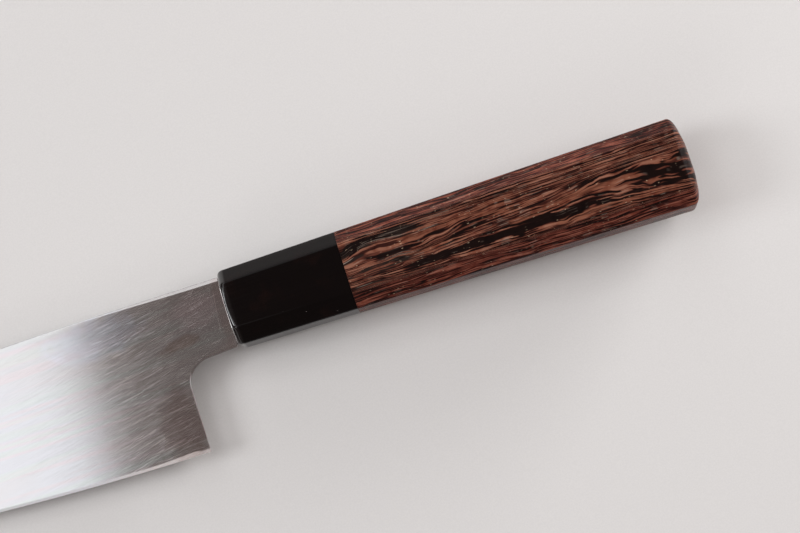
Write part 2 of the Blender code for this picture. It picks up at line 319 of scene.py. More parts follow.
def streakNoise(tree, place, along, across, detail=2.0, grit=0.5, seed=0.0):
    return put(tree, "ShaderNodeGroup", {"node_tree": streakGroup}, Place=place, Along=along, Across=across,
               Detail=detail, Grit=grit, Seed=seed).outputs[0]


print("helpers and shared node groups ready")


# blade

bladeValues = {
    "length": 0.2100,  # heel to point
    "depth": 0.0477,  # spine to edge at the heel
    "heelAhead": 0.0166,  # heel in front of the ferrule
    "spineHeight": 0.01025,  # spine above the handle's axis at the neck
    "spineDrop": 0.0160, "spinePower": 3.0,
    "edgeSweep": 0.0223, "bellyPower": 11.0,
    "choilRadius": 0.0070,
    "neckDepth": 0.01075, "neckSlope": 3.0,  # the neck's underside, and its fall in degrees
    "neckThickness": 0.0030, "tipThickness": 0.0007, "taperPower": 1.2,
    "facePower": 1.25,  # above 1, the cheeks are slightly convex
    "shoulder": 0.00034, "heelShoulder": 0.00046, "heelShoulderLength": 0.018,
    "cuttingAngle": (12.0, 8.5),  # degrees, each side of the edge: along the blade, and at the heel
    "spineEase": 0.00120, "spineEaseTip": 0.0002, "spineEaseLength": 0.052,
    "spineEaseWidth": 0.45,  # the easing across the spine, as a share of that down the cheek
    "spineFlatness": 0.6,  # its form: 0 is round, 1 a straight chamfer
    "choilEase": 0.0003, "neckEndEase": 0.00012,
    "neckEndSlope": 0.7,  # the neck end's chamfer across the cheeks, as a share of that down them
    "shoulderMost": 0.6, "bevelMost": 0.3,  # near the point: of the spine's thickness, of the blade's depth
    "easeMost": (0.8, 0.2),  # the spine's easing, of half the thickness and of the cheek's depth
    "gap": 0.0003,  # neck end to ferrule
    "tangLength": 0.0880, "tangRoot": 0.0040, "tangPoint": 0.0040,
    "tangDepth": (0.0090, 0.0050), "tangThickness": (0.0020, 0.0016), "tangEndDepth": 0.55,
    "columns": 130, "crowding": 1.5, "choilColumns": 18, "neckColumns": 12,
    "spineRows": 8, "upperRows": 22, "lowerRows": 20,
    "smoothAngle": 24, "bevelLine": 0.0002,  # the bevel's crisp line starts this far ahead of the heel
}
heelX = -bladeValues["heelAhead"]
pointX = heelX - bladeValues["length"]
neckEndX = -bladeValues["gap"]
heelY = bladeValues["spineHeight"] - bladeValues["depth"]


def aheadOfNeck(x):
    return max(neckEndX - x, 0.0) / (neckEndX - pointX)


def spineY(x):
    return bladeValues["spineHeight"] - bladeValues["spineDrop"] * aheadOfNeck(x) ** bladeValues["spinePower"]


def edgeY(x):
    gone = max(heelX - x, 0.0) / bladeValues["length"]
    sweep = bladeValues["edgeSweep"]
    rise = spineY(pointX) - heelY
    return heelY + sweep * gone ** 2 + (rise - sweep) * gone ** bladeValues["bellyPower"]


def spineHalf(x):
    neck, tip = bladeValues["neckThickness"], bladeValues["tipThickness"]
    return (neck + (tip - neck) * aheadOfNeck(x) ** bladeValues["taperPower"]) / 2


def aheadOfHeel(x):
    return smoothStep((heelX - x) / bladeValues["heelShoulderLength"])


def shoulderHalf(x):
    heel = bladeValues["heelShoulder"]
    thickness = heel + (bladeValues["shoulder"] - heel) * aheadOfHeel(x)
    return min(thickness / 2, spineHalf(x) * bladeValues["shoulderMost"])


def bevelDepth(x):
    blade, heel = bladeValues["cuttingAngle"]
    slope = math.tan(math.radians(heel + (blade - heel) * aheadOfHeel(x)))
    return min(shoulderHalf(x) / slope, bladeValues["bevelMost"] * (spineY(x) - edgeY(x)))


def cheekZ(x, y):
    # half the blade's thickness, a slightly convex wedge
    top, bottom = spineY(x), edgeY(x) + bevelDepth(x)
    depth = min(max((top - y) / max(top - bottom, 1e-6), 0.0), 1.0)
    return spineHalf(x) + (shoulderHalf(x) - spineHalf(x)) * depth ** bladeValues["facePower"]


def spineEase(x):
    gone = smoothStep((neckEndX - x) / bladeValues["spineEaseLength"])
    return bladeValues["spineEase"] + (bladeValues["spineEaseTip"] - bladeValues["spineEase"]) * gone


def choilAndNeck():
    # places from the choil's foot to the neck's end: on the rim, inside its chamfer, and spine x above
    radius, ease = bladeValues["choilRadius"], bladeValues["choilEase"]
    slope = math.radians(bladeValues["neckSlope"])
    arcEnd = math.pi / 2 + slope
    tangentX = heelX + radius + radius * math.cos(arcEnd)
    tangentY = -bladeValues["neckDepth"] - (neckEndX - tangentX) * math.tan(slope)
    centre = Vector((heelX + radius, tangentY - radius * math.sin(arcEnd)))
    places = []
    for step, angle in enumerate(steps(math.pi, arcEnd, bladeValues["choilColumns"])):
        outward = Vector((math.cos(angle), math.sin(angle)))
        spineX = heelX - ease + (tangentX - heelX) * step / bladeValues["choilColumns"]
        places.append((centre + outward * radius, centre + outward * (radius + ease), spineX))
    intoSteel = Vector((-math.sin(slope), math.cos(slope))) * ease
    for x in steps(tangentX, neckEndX - bladeValues["neckEndEase"], bladeValues["neckColumns"])[1:]:
        rim = Vector((x, -bladeValues["neckDepth"] - (neckEndX - x) * math.tan(slope)))
        places.append((rim, rim + intoSteel, x))
    return places


def upperColumn(spineX, bottom):
    # the spine's flat, its rounded corner and the cheek, down to the point given
    top = spineY(spineX)
    ofHalf, ofDepth = bladeValues["easeMost"]
    ease = min(spineEase(spineX), ofHalf * spineHalf(spineX), ofDepth * (top - bottom[1]))
    width = ease * bladeValues["spineEaseWidth"]
    half = cheekZ(spineX, top - ease)
    column = [(spineX, top, 0.0)]
    flat = bladeValues["spineFlatness"]
    for share in steps(0.0, 1.0, bladeValues["spineRows"]):
        angle = share * math.pi / 2
        up = flat * (1 - share) + (1 - flat) * math.cos(angle)
        out = flat * share + (1 - flat) * math.sin(angle)
        column.append((spineX, top - ease + ease * up, half - width + width * out))
    for share in steps(0.0, 1.0, bladeValues["upperRows"])[1:]:
        x = spineX + (bottom[0] - spineX) * share
        y = top - ease + (bottom[1] - top + ease) * share
        column.append((x, y, cheekZ(x, y)))
    return column


def lowerColumn(x, top):
    shoulder = edgeY(x) + bevelDepth(x)
    column = [(x, y, cheekZ(x, y)) for y in steps(top, shoulder, bladeValues["lowerRows"])]
    return column + [(x, (shoulder + edgeY(x)) / 2, shoulderHalf(x) / 2), (x, edgeY(x), 0.0)]


def turned(columns):
    return [list(row) for row in zip(*columns)]


def buildBlade():
    places = choilAndNeck()
    cornerX, cornerY = places[0][1]
    upperShare = (spineY(cornerX) - cornerY) / (spineY(cornerX) - edgeY(cornerX))
    upper, lower = [], []
    for share in steps(0.0, 1.0, bladeValues["columns"]):
        x = pointX + (cornerX - pointX) * share ** bladeValues["crowding"]
        middle = spineY(x) - upperShare * (spineY(x) - edgeY(x))
        upper.append(upperColumn(x, (x, middle)))
        lower.append(lowerColumn(x, middle))
    point = (pointX, spineY(pointX), 0.0)  # the first columns shrink to the blade's point
    upper[0], lower[0] = [point] * len(upper[0]), [point] * len(lower[0])

    ease = bladeValues["choilEase"]  # it dies out down the bevel
    lower[-1] = [(heelX - min(ease, z / 2), y, z) for _, y, z in lower[-1]]
    inner = lower[-1][::-1]
    rim = [(heelX, y, max(z - ease, z / 2)) for _, y, z in inner]
    for onRim, inside, spineX in places[1:]:
        upper.append(upperColumn(spineX, inside))
        inner.append(upper[-1][-1])
        z = cheekZ(*onRim)
        rim.append((onRim[0], onRim[1], max(z - ease, z / 2)))

    end = []  # the neck's last column, drawn in by the chamfer on its end
    last, endEase = upper[-1] + rim[-1:], bladeValues["neckEndEase"]
    for _, y, z in last:
        share = (last[0][1] - y) / (last[0][1] - last[-1][1])
        inZ = max(z - endEase * bladeValues["neckEndSlope"], 0.0)
        end.append((neckEndX, y + endEase * (2 * share - 1), inZ))
    upper.append(end[:-1])
    inner.append(end[-2])
    rim.append(end[-1])

    rimWall = [(x, y, 0.0) for x, y, _ in rim]
    endWall = [(x, y, 0.0) for x, y, _ in end]
    sheets = [gridSheet(turned(upper)), gridSheet(turned(lower)),
              gridSheet([inner, rim, rimWall]), gridSheet([end, endWall])]
    blade = joinSheets("blade_forged", sheets)
    applyModifier(blade, "MIRROR", use_axis=(False, False, True), merge_threshold=sameSpot / 2)
    mergePoints(blade)
    return blade


def addTang(blade):
    values = bladeValues
    rootX, tangEndX = neckEndX - values["tangRoot"], neckEndX + values["tangLength"]
    (rootDepth, endDepth), (rootThickness, endThickness) = values["tangDepth"], values["tangThickness"]
    startClean()
    bpy.ops.mesh.primitive_cube_add(size=1, location=((rootX + tangEndX) / 2, 0, 0),
                                    scale=(tangEndX - rootX, rootDepth, rootThickness))
    tang = bpy.context.object
    bpy.ops.object.transform_apply(location=True, rotation=True, scale=True)
    setMode("EDIT")
    bpy.ops.mesh.bisect(plane_co=(tangEndX - values["tangPoint"], 0, 0), plane_no=(1, 0, 0))
    setMode("OBJECT")
    for vertex in tang.data.vertices:
        share = (vertex.co.x - rootX) / (tangEndX - rootX)
        depth = rootDepth + (endDepth - rootDepth) * share
        thickness = rootThickness + (endThickness - rootThickness) * share
        if share > 0.999:
            depth *= values["tangEndDepth"]  # its pointed end
        vertex.co.y = math.copysign(depth / 2, vertex.co.y)
        vertex.co.z = math.copysign(thickness / 2, vertex.co.z)
    cutWith(blade, tang, "UNION")


def markShoulder(blade):
    # the lines where the cutting bevel and the heel's easing start stay crisp
    mesh, ease = blade.data, bladeValues["choilEase"]
    bevelStart = heelX - bladeValues["bevelLine"]
    activate(blade)
    setMode("EDIT")
    bpy.ops.mesh.select_mode(type="EDGE")
    bpy.ops.mesh.select_all(action="DESELECT")
    setMode("OBJECT")
    for edge in mesh.edges:
        ends = [mesh.vertices[index].co for index in edge.vertices]
        onBevel = all(end.x < bevelStart and abs(end.y - edgeY(end.x) - bevelDepth(end.x)) < sameSpot
                      for end in ends)
        onHeel = all(abs(heelX - min(ease, abs(end.z) / 2) - end.x) < sameSpot for end in ends)
        edge.select = onBevel or onHeel
    setMode("EDIT")
    bpy.ops.mesh.mark_sharp()
    setMode("OBJECT")


blade = buildBlade()
addTang(blade)
smoothShade(blade, bladeValues["smoothAngle"])
markShoulder(blade)
print("blade modelled:", len(blade.data.polygons), "faces")


# handle: the section that ferrule and body share

handleValues = {
    "length": 0.1403, "ferruleLength": 0.0360, "gap": 0.00005,
    "depth": (0.02245, 0.0265),  # spine side to edge side, at the front and at the butt
    "thickness": (0.0181, 0.0192),  # cheek to cheek, the same
    "facet": 0.00460, "facetEase": 0.0004,  # leg of the slanted facets, rounding of the long edges
    "cornerSteps": 4, "smoothAngle": 28,
    "frontRounding": (0.0008, 0.0017),  # in the middle of the upper main facet, and elsewhere
    "roundingPower": 1.8, "roundingRings": 12, "ferruleRings": 12,
    "buttDome": 0.0036, "domePower": 2.4, "domeRings": 16, "domeEnd": 0.97,
    "boreRadius": 0.0068, "boreSides": 64,
    "boreStart": 0.0060, "ferruleBoreEnd": 0.0370, "boreEnd": 0.1000,
    "mouth": (0.0118, 0.0048), "mouthEase": 0.0006, "mouthEaseSteps": 4,  # opening for the tang
    "mouthPast": 0.0003,  # how far its cut runs past the wall
    "ringPitch": 0.0005,
    # points on each facet
    "ferruleCells": {"main": 16, "bevel": 4, "side": 4, "under": 16},
    "bodyCells": {"main": 34, "bevel": 9, "side": 12, "under": 20},
}


def tapered(name, x):
    first, last = handleValues[name]
    return first + (last - first) * x / handleValues["length"]


def octagonRing(x, cells, inset=0.0, scale=1.0):
    # one section of the handle, with eased corners; cells says how many points each facet gets
    y = (tapered("depth", x) / 2 - inset) * scale
    z = (tapered("thickness", x) / 2 - inset) * scale
    leg = (handleValues["facet"] - inset * (2 - math.sqrt(2))) * scale
    corners = [(y, z - leg), (y - leg, z), (leg - y, z), (-y, z - leg)]
    corners += [(-a, -b) for a, b in corners]
    corners = [Vector(corner) for corner in corners]
    kinds = ["main", "bevel", "side", "bevel", "under", "bevel", "side", "bevel"]
    ring = []
    ease = handleValues["facetEase"] * scale
    for index in range(8):
        before, corner, after = corners[index - 1], corners[index], corners[(index + 1) % 8]
        start = corner + (before - corner).normalized() * ease
        end = corner + (after - corner).normalized() * ease
        for share in steps(0.0, 1.0, handleValues["cornerSteps"]):
            ring.append(start.lerp(corner, share).lerp(corner.lerp(end, share), share))
        count = cells[kinds[(index - 1) % 8]]
        onward = after + (corner - after).normalized() * ease
        ring += [end.lerp(onward, part / count) for part in range(1, count)]
    return [(x, point[0], point[1]) for point in ring + ring[:1]]


def roundingShare(point):
    # 0 in the middle of the upper main facet, 1 at its corners and on the other facets
    if point[2] < tapered("thickness", 0.0) / 2 - 1e-5:
        return 1.0
    half = tapered("depth", 0.0) / 2 - handleValues["facet"]
    return min(abs(point[1]) / half, 1.0) ** handleValues["roundingPower"]


def boreOut(piece, first, last):
    # the dowel's bore, from x to x
    startClean()
    bpy.ops.mesh.primitive_cylinder_add(vertices=handleValues["boreSides"], radius=handleValues["boreRadius"],
                                        depth=last - first, location=((first + last) / 2, 0, 0),
                                        rotation=(0, math.pi / 2, 0))
    cutWith(piece, bpy.context.object)


def buildFerrule():
    values = handleValues
    cells = values["ferruleCells"]
    small, large = values["frontRounding"]
    shares = [roundingShare(point) for point in octagonRing(0.0, cells)]
    rings = []
    for angle in steps(math.pi / 2, 0.0, values["roundingRings"]):
        near, far = [octagonRing(size * (1 - math.cos(angle)), cells, inset=size * (1 - math.sin(angle)))
                     for size in (small, large)]
        rings.append([Vector(first).lerp(Vector(last), share)
                      for first, last, share in zip(near, far, shares)])
    straight = steps(large, values["ferruleLength"], values["ferruleRings"])[1:]
    rings = rings[::-1] + [octagonRing(x, cells) for x in straight]
    ferrule = joinSheets("ferrule_black", [gridSheet(rings)])
    closeEnds(ferrule)
    boreOut(ferrule, values["boreStart"], values["ferruleBoreEnd"])
    startClean()
    bpy.ops.mesh.primitive_cube_add(size=1, location=(values["boreStart"] / 2, 0, 0),
                                    scale=(values["boreStart"] + 2 * values["mouthPast"], *values["mouth"]))
    mouth = bpy.context.object
    bpy.ops.object.transform_apply(location=False, rotation=False, scale=True)
    applyModifier(mouth, "BEVEL", width=values["mouthEase"], segments=values["mouthEaseSteps"],
                  limit_method="ANGLE")
    cutWith(ferrule, mouth)
    return ferrule


def buildHandleBody():
    values = handleValues
    cells = values["bodyCells"]
    domeStart = values["length"] - values["buttDome"]
    frontX = values["ferruleLength"] + values["gap"]
    count = round((domeStart - frontX) / values["ringPitch"])
    rings = [octagonRing(x, cells) for x in steps(frontX, domeStart, count)]
    for angle in steps(0.0, values["domeEnd"] * math.pi / 2, values["domeRings"])[1:]:
        along = math.sin(angle)
        scale = math.sqrt(1 - along ** values["domePower"])
        rings.append(octagonRing(domeStart + values["buttDome"] * along, cells, scale=scale))
    body = joinSheets("handle_wenge", [gridSheet(rings)])
    closeEnds(body)
    boreOut(body, values["ferruleLength"], values["boreEnd"])
    return body


ferrule = buildFerrule()
smoothShade(ferrule, handleValues["smoothAngle"])
handleBody = buildHandleBody()
smoothShade(handleBody, handleValues["smoothAngle"])
print("ferrule and handle modelled:", len(ferrule.data.polygons), len(handleBody.data.polygons), "faces")

middleX = (handleValues["ferruleLength"] + handleValues["length"] - handleValues["buttDome"]) / 2
onFacet = Vector((middleX, 0.0, tapered("thickness", middleX) / 2))
knifePlace = Vector(upperMount["pos_m"]) - knifeTurn @ onFacet
lying = Matrix.Translation(knifePlace) @ knifeTurn.to_4x4()


# figure of the wood: lines of the grain, drawn in millimetres on the main facet

grainValues = {
    # lines that the grain follows, from the spine side to the edge side: (x, y) in millimetres
    "flow": [
        [(36, 9), (140, 10)],
        [(36, 6.6), (60, 6.9), (100, 7.3), (140, 8)],
        [(36, 3.6), (41, 5.1), (45, 5.7), (60, 5.7), (80, 6.1), (100, 6), (120, 6.1), (140, 6.3)],
        [(36, 2), (43, 3.9), (53, 3.3), (59, 3.1), (66, 3.3), (73, 3.9), (82, 4.7), (90, 4.4), (100, 4.2),
         (110, 4.3), (122, 4.5), (140, 4.7)],
        [(36, -.9), (46, -1.3), (51, -.9), (56, -1.3), (65, -.4), (72, 1.3), (79, 1.7), (90, 2.1), (98, 2.7),
         (106, 3.2), (118, 3.8), (140, 4)],
        [(36, -2.2), (46, -1.9), (51, -1.7), (56, -2.2), (65, -1.7), (75, -1.6), (86, -1.2), (95, -.9),
         (104, .4), (110, 1.6), (114, 2.5), (119, 2.8), (130, 2.6), (140, 2.8)],
        [(36, -4.8), (43, -5), (50, -4.8), (55, -4.5), (60, -4.6), (66, -4.3), (75, -3.4), (86, -2.9),
         (100, -2.7), (105, -2.1), (109, -1.9), (113, -2.5), (118, -3.6), (129, -5.3), (140, -6.6)],
        [(36, -5.8), (43, -6), (50, -6.7), (55, -7.1), (60, -6.8), (66, -6.7), (75, -7.1), (86, -7.1),
         (100, -7.4), (104, -6.9), (114, -6.6), (129, -7.3), (140, -8)],
        [(36, -8.2), (140, -10)],
    ],
    # dark and orange bands, and zones of painted glints: (x, y, half width) in millimetres
    "dark": [
        [(36, 3.6, .8), (39, 4.2, 1.4), (41.5, 5.1, 1.7), (45, 5.7, 1.2), (58, 5.6, 1), (62, 5.7, .1)],
        [(42, 6.8, .3), (59, 6.9, .4), (72, 7, .4), (86, 7, .5), (94, 7, .2)],
        [(36, -5.2, .35), (43, -5.5, .35), (50, -5.8, .75), (55, -5.8, 1.2), (60, -5.7, 1), (66, -5.5, 1),
         (75, -5.2, 1.7), (86, -4.9, 1.9), (101, -5.1, 2), (104, -4.3, 2), (109, -3.3, 1.3),
         (114, -3.6, .9), (119, -4.3, .45), (129, -5.9, .2)],
        [(48, -2.2, .2), (51, -2.3, .5), (55, -2.5, .2)],
        [(64, -1.9, .2), (68, -1.7, .5), (71, -1.7, .45), (75, -2.1, .2)],
        [(74, 1.5, .2), (76.5, 1.6, .6), (79, 1.6, .2)],
        [(99, -6.4, .3), (107, -5.8, .45), (114.5, -5.7, .5), (117, -5.9, .3), (122, -6.4, .15)],
        [(109, 1.6, .2), (114, 2.6, .4), (118.5, 3.2, .7), (122.5, 3.8, .6), (125, 4.1, .1)],
        [(110, .6, .15), (118, .9, .25), (121, .8, .6), (125, .9, .7), (131, 1.4, .6), (140, 2, .6)],
        [(120, -2.9, .3), (127, -2.5, .45), (131, -2, .9), (140, -2, 1.3)],
        [(128, -5.2, .3), (132, -5.5, .9), (140, -5.8, .9)],
    ],
    "orange": [
        [(53, 2.5, .4), (59, 2.6, .9), (66, 3, .9), (73, 3.6, .75), (82, 4.5, .7), (87, 4.6, .4)],
        [(56, -2, .4), (60, -2, .7), (65, -2, .4)],
        [(77, 2.5, .3), (82, 1.9, .9), (86, 1.4, 1), (92, 1.6, .3)],
        [(86, -2.5, .5), (92, -2.2, .9), (99, -1.3, 1), (106, -.3, .9), (121, -.3, .9), (128, .1, .4),
         (140, 1, .5)],
        [(126, -3.5, .3), (129, -3.9, .75), (135, -4.3, .3)],
        [(123, 4.8, .3), (127, 4.7, .6), (131, 4.6, .2)],
        [(99, -7, .3), (109, -6.5, .6), (118, -6.7, .7), (127, -7, .6), (139, -7.5, .4)],
    ],
    # zones of painted glints: whitish streaks along the grain
    "glintZone": [
        [(49, 6.1, .2), (58, 6.1, .25), (69, 6.2, .15)],
        [(43, 4.1, .3), (53, 4.3, .3), (59, 4.1, .25), (64, 4.5, .1)],
        [(40, -2.3, .2), (46, -1.9, .3), (51, -1.6, .3), (56, -1.9, .15)],
        [(37, 1, .25), (46, 1.6, .3), (54, 1.4, .2)],
        [(37, -3.4, .25), (48, -3.4, .35), (60, -3.2, .25), (70, -2.9, .15)],
        [(38, -7.4, .2), (50, -7.8, .3), (62, -7.9, .2)],
    ],
    "level": 2.2,  # rise of the level from one flow line to the next
    "outside": -3.0,  # depth given far from every band
    "bandReach": 2, "bandEndSlope": 0.5,  # mm that a band counts past its ends, and its fall there
    "facetPast": 0.3, "facetFrom": 0.6,  # main facet: mm past its corners, and share of the half thickness
    # the plain facets: (level at the handle's axis, rise per mm round the girth)
    "spineSide": (40, 0.5), "edgeSide": (80, 0.62), "underside": (120, 1.1),
    # slow waves in them: (height, per mm along, per mm of z or y, start)
    "waves": ((0.25, 0.09, 0.2, 0.0), (0.15, 0.23, 0.3, 1.0)), "undersideWaves": 4,
}


def grainLevel(x, y):
    # level of the grain on the main facet: the same number all along one fibre
    heights = [alongLine(line, x) for line in grainValues["flow"]]
    level = grainValues["level"]
    if y >= heights[0]:
        return -(y - heights[0])
    for index, (upper, lower) in enumerate(zip(heights, heights[1:])):
        if y >= lower:
            return level * (index + (upper - y) / (upper - lower))
    return level * (len(heights) - 1) + heights[-1] - y


def bandDepth(bands, x, y):
    # millimetres inside the nearest band, negative outside
    deepest = grainValues["outside"]
    for band in bands:
        if band[0][0] - grainValues["bandReach"] < x < band[-1][0] + grainValues["bandReach"]:
            middle = alongLine([entry[:2] for entry in band], x)
            half = alongLine([(entry[0], entry[2]) for entry in band], x)
            past = max(band[0][0] - x, x - band[-1][0], 0.0)
            deepest = max(deepest, half - abs(y - middle) - grainValues["bandEndSlope"] * past)
    return deepest


def plainLevel(x, y, z, halfY, halfZ, leg):
    # level of the grain on the other facets, in millimetres
    wave = sum(height * math.sin(x * along + place * around + start)
               for place, (height, along, around, start) in zip((z, y), grainValues["waves"]))
    if z < 0 and abs(y) < halfY - leg:
        start, rise = grainValues["underside"]
        return start + rise * y + grainValues["undersideWaves"] * wave
    start, rise = grainValues["spineSide" if y > 0 else "edgeSide"]
    # the girth unrolled: past the side facet's lower edge the count goes on along the lower bevel
    under = 2 * max(leg - halfZ - z, 0.0)
    return start + rise * (abs(y) - z + under) + wave


def storeFigure(body):
    values = {"grainLevel": [], "darkBand": [], "orangeBand": [], "paleBand": [], "figured": []}
    leg = handleValues["facet"] * 1000
    for vertex in body.data.vertices:
        x, y, z = (part * 1000 for part in vertex.co)
        halfZ = tapered("thickness", vertex.co.x) * 500
        halfY = tapered("depth", vertex.co.x) * 500
        if abs(y) < halfY - leg + grainValues["facetPast"] and z > halfZ * grainValues["facetFrom"]:
            depths = [bandDepth(grainValues[kind], x, y) for kind in ("dark", "orange", "glintZone")]
            found = [grainLevel(x, y), *depths, 1.0]
        else:
            found = [plainLevel(x, y, z, halfY, halfZ, leg), *[grainValues["outside"]] * 3, 0.0]
        for entries, value in zip(values.values(), found):
            entries.append(value)
    for name, entries in values.items():
        storeValues(body, name, "POINT", entries)


storeFigure(handleBody)
print("grain drawn on the handle")


# materials

steelValues = {
    "colour": rgb(208, 207, 208), "warm": rgb(206, 196, 191), "cool": rgb(204, 207, 215),
    "pink": rgb(214, 203, 206), "green": rgb(203, 210, 207),
    # painted shade: a darker colour for the heel's wall, the notch and the neck's underside
    "wallShadeColour": rgb(116, 94, 90), "wallNormal": (0.5, 0.4),  # a wall's normal has less y and z than this
    # a range of four numbers, here and below: from and to in the noise, then what that becomes
    "roughness": (-0.25, 0.25, 0.11, 0.14), "scratchRoughness": 0.18,
    # warm and cool clouds: per mm along and across
    "clouds": (0.02, 0.07), "cloudTurn": -8.0, "cloudRange": (0.36, 0.64, -0.2, 0.2),
    "nearWarmth": (0.8, 0.1), "plainShare": 0.5,  # factor and least warmth, share of the plain colour
    # polishing lines: (turn in degrees, per mm along, per mm across, weight)
    "polish": ((-10.0, 0.09, 3.0, 0.6), (-12.0, 0.11, 4.2, 1.6)),
    # hairlines: (turn in degrees, per mm along, per mm across, how rare, 1 for light and -1 for dark)
    "scratches": ((-9.0, 0.14, 3.6, 0.65, 1), (-11.0, 0.17, 4.0, 0.64, -1), (-12.0, 0.15, 3.8, 0.65, 1),
                  (-10.0, 0.16, 3.4, 0.65, -1), (4.0, 0.10, 3.2, 0.72, 1)),
    "scratchEdge": 0.06,
    "lineDepth": 0.0000003, "lineShade": 0.045, "mottleShade": 0.015, "scratchShade": 0.11,
    "calmFrom": (-58.0, -30.0, 0.22),  # lines are fainter towards the point: from x to x, and how faint
    # polishing lines come in bundles: turn, per mm along and across, seed
    "bundles": (-11.0, 0.03, 0.25, 97.0), "bundleRange": (0.35, 0.62, 0.85, 1.15),
    # faint pink and green, a painted iridescent sheen: turn, per mm along and across
    "sheenLines": (0.0, 0.012, 0.42), "sheenRange": (0.5, 0.68, 0.0, 0.5),
    "mottle": (0.9, 3.0, 0.6),  # per mm, detail and grit
    "cheekZ": 1.3, "patchNoise": (0.25, 3.0), "patchRaggedness": 1.3, "patchEdge": (1.1, 0.1),
    "markHalfWidth": (0.17, 0.05), "markFade": 0.6,
    # stains on the upper cheek, and last a brighter, cooler patch that is a painted reflection: (x, y, half
    # length, half width, turn, strength, colour)
    "stainsAndReflection": ((-16.3, -5.2, 7.5, 2.4, 8.0, 0.4, rgb(178, 150, 132)),
               (-21.5, -28.0, 8.0, 13.0, 0.0, 0.7, rgb(176, 160, 155)),
               (-1.6, 0.0, 2.1, 14.0, 0.0, 0.35, rgb(186, 160, 154)),
               (-9.0, 3.0, 8.5, 6.0, 0.0, 0.6, rgb(226, 212, 214)),
               # painted reflection of light: a brighter, cooler patch towards the point
               (-40.0, 4.0, 18.0, 7.5, 4.0, 0.55, rgb(212, 215, 227))),
    # single marks on the upper cheek: (x, y) of both ends, and strength
    "marks": ((-33.0, -30.9, -27.5, -29.7, 0.5), (-2.6, 7.6, -4.1, -7.0, 0.2),
              (-25.0, -32.4, -22.6, -31.6, 0.4), (-22.4, -32.6, -20.6, -31.9, 0.3)),
}


def storeWallShade(piece):
    # 1 on the sheer wall of the heel, the notch and the neck's underside: painted shade darkens the steel's
    # colour there
    mostY, mostZ = steelValues["wallNormal"]
    shares = []
    for face in piece.data.polygons:
        inNotch = heelX - 0.0001 < face.center.x < neckEndX
        shares.append(float(inNotch and face.normal.y < mostY and abs(face.normal.z) < mostZ))
    storeValues(piece, "wallShade", "FACE", shares)


def attributeValue(tree, name):
    return put(tree, "ShaderNodeAttribute", {"attribute_name": name}).outputs["Fac"]


def onCheek(tree, x, y, turn):
    # place in millimetres from a point of the upper cheek, with x along the turned pattern
    rotation = Euler((0.0, knifePitch, math.radians(-turn)))
    onSteel = knifeTurn @ Vector((x, y, steelValues["cheekZ"]))
    middle = rotation.to_matrix() @ (knifePlace * 1000 + onSteel)
    place = put(tree, "ShaderNodeVectorMath", {"operation": "SUBTRACT"})
    plug(tree, place.inputs[0], millimetres(tree, -turn))
    place.inputs[1].default_value = middle
    return split(tree, place.outputs[0])


# a ragged oval mask, for the stains and for the painted reflection
def patchMask(tree, x, y, halfLength, halfWidth, turn):
    parts = onCheek(tree, x, y, turn)
    ragged = noise(tree, millimetres(tree), *steelValues["patchNoise"])
    along = calc(tree, "POWER", times(tree, parts[0], 1.0 / halfLength), 2.0)
    across = calc(tree, "POWER", times(tree, parts[1], 1.0 / halfWidth), 2.0)
    oval = calc(tree, "ADD", along, across)
    reach = timesPlus(tree, centred(tree, ragged), steelValues["patchRaggedness"], oval)
    return rescale(tree, reach, *steelValues["patchEdge"])


def singleMark(tree, x0, y0, x1, y1):
    turn = math.degrees(math.atan2(y1 - y0, x1 - x0))
    parts = onCheek(tree, (x0 + x1) / 2, (y0 + y1) / 2, turn)
    half = math.hypot(x1 - x0, y1 - y0) / 2
    along = rescale(tree, calc(tree, "ABSOLUTE", parts[0]), half, half * steelValues["markFade"])
    across = rescale(tree, calc(tree, "ABSOLUTE", parts[1]), *steelValues["markHalfWidth"])
    return times(tree, along, across)


